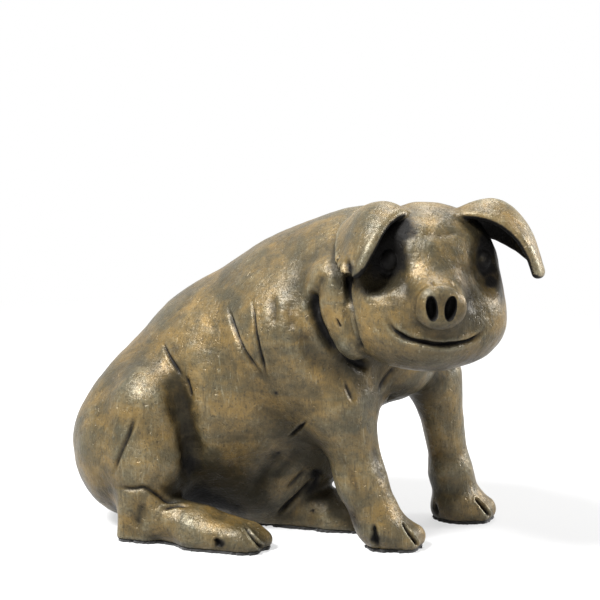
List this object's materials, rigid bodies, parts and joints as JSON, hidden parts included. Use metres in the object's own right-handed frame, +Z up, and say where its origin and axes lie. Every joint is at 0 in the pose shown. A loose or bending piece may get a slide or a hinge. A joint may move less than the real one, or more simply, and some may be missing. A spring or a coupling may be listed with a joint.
{
  "type": "pig figurine",
  "caption": "Seated bronze pig ornament with its head turned to the right, hollow body and felt pads underneath.",
  "frame": {"origin": "on the table, under the middle of the felt seat pad", "axes": "-Y is the way the body faces, +X is the pig's left, +Z is up"},
  "size_m": [0.0858, 0.1616, 0.1137],
  "materials": {
    "bronze": "brown patina, waxed, darker in the hollows",
    "felt": "black wool felt, 1 mm",
    "pin": "bare bronze rod"
  },
  "bodies": {
    "root": {"torso": "bronze", "head": "bronze", "ear_right": "bronze", "ear_left": "bronze", "foreleg_right": "bronze", "foreleg_left": "bronze", "haunch_right": "bronze", "haunch_left": "bronze", "hind_foot_right": "bronze", "hind_foot_left": "bronze", "tail": "bronze", "neck_pins": "pin", "foreleg_pins": "pin", "foot_pins": "pin", "core_plugs": "bronze", "felt_seat": "felt", "felt_foreleg_right": "felt", "felt_foreleg_left": "felt", "felt_hind_right": "felt", "felt_hind_left": "felt"}
  },
  "joints": []
}
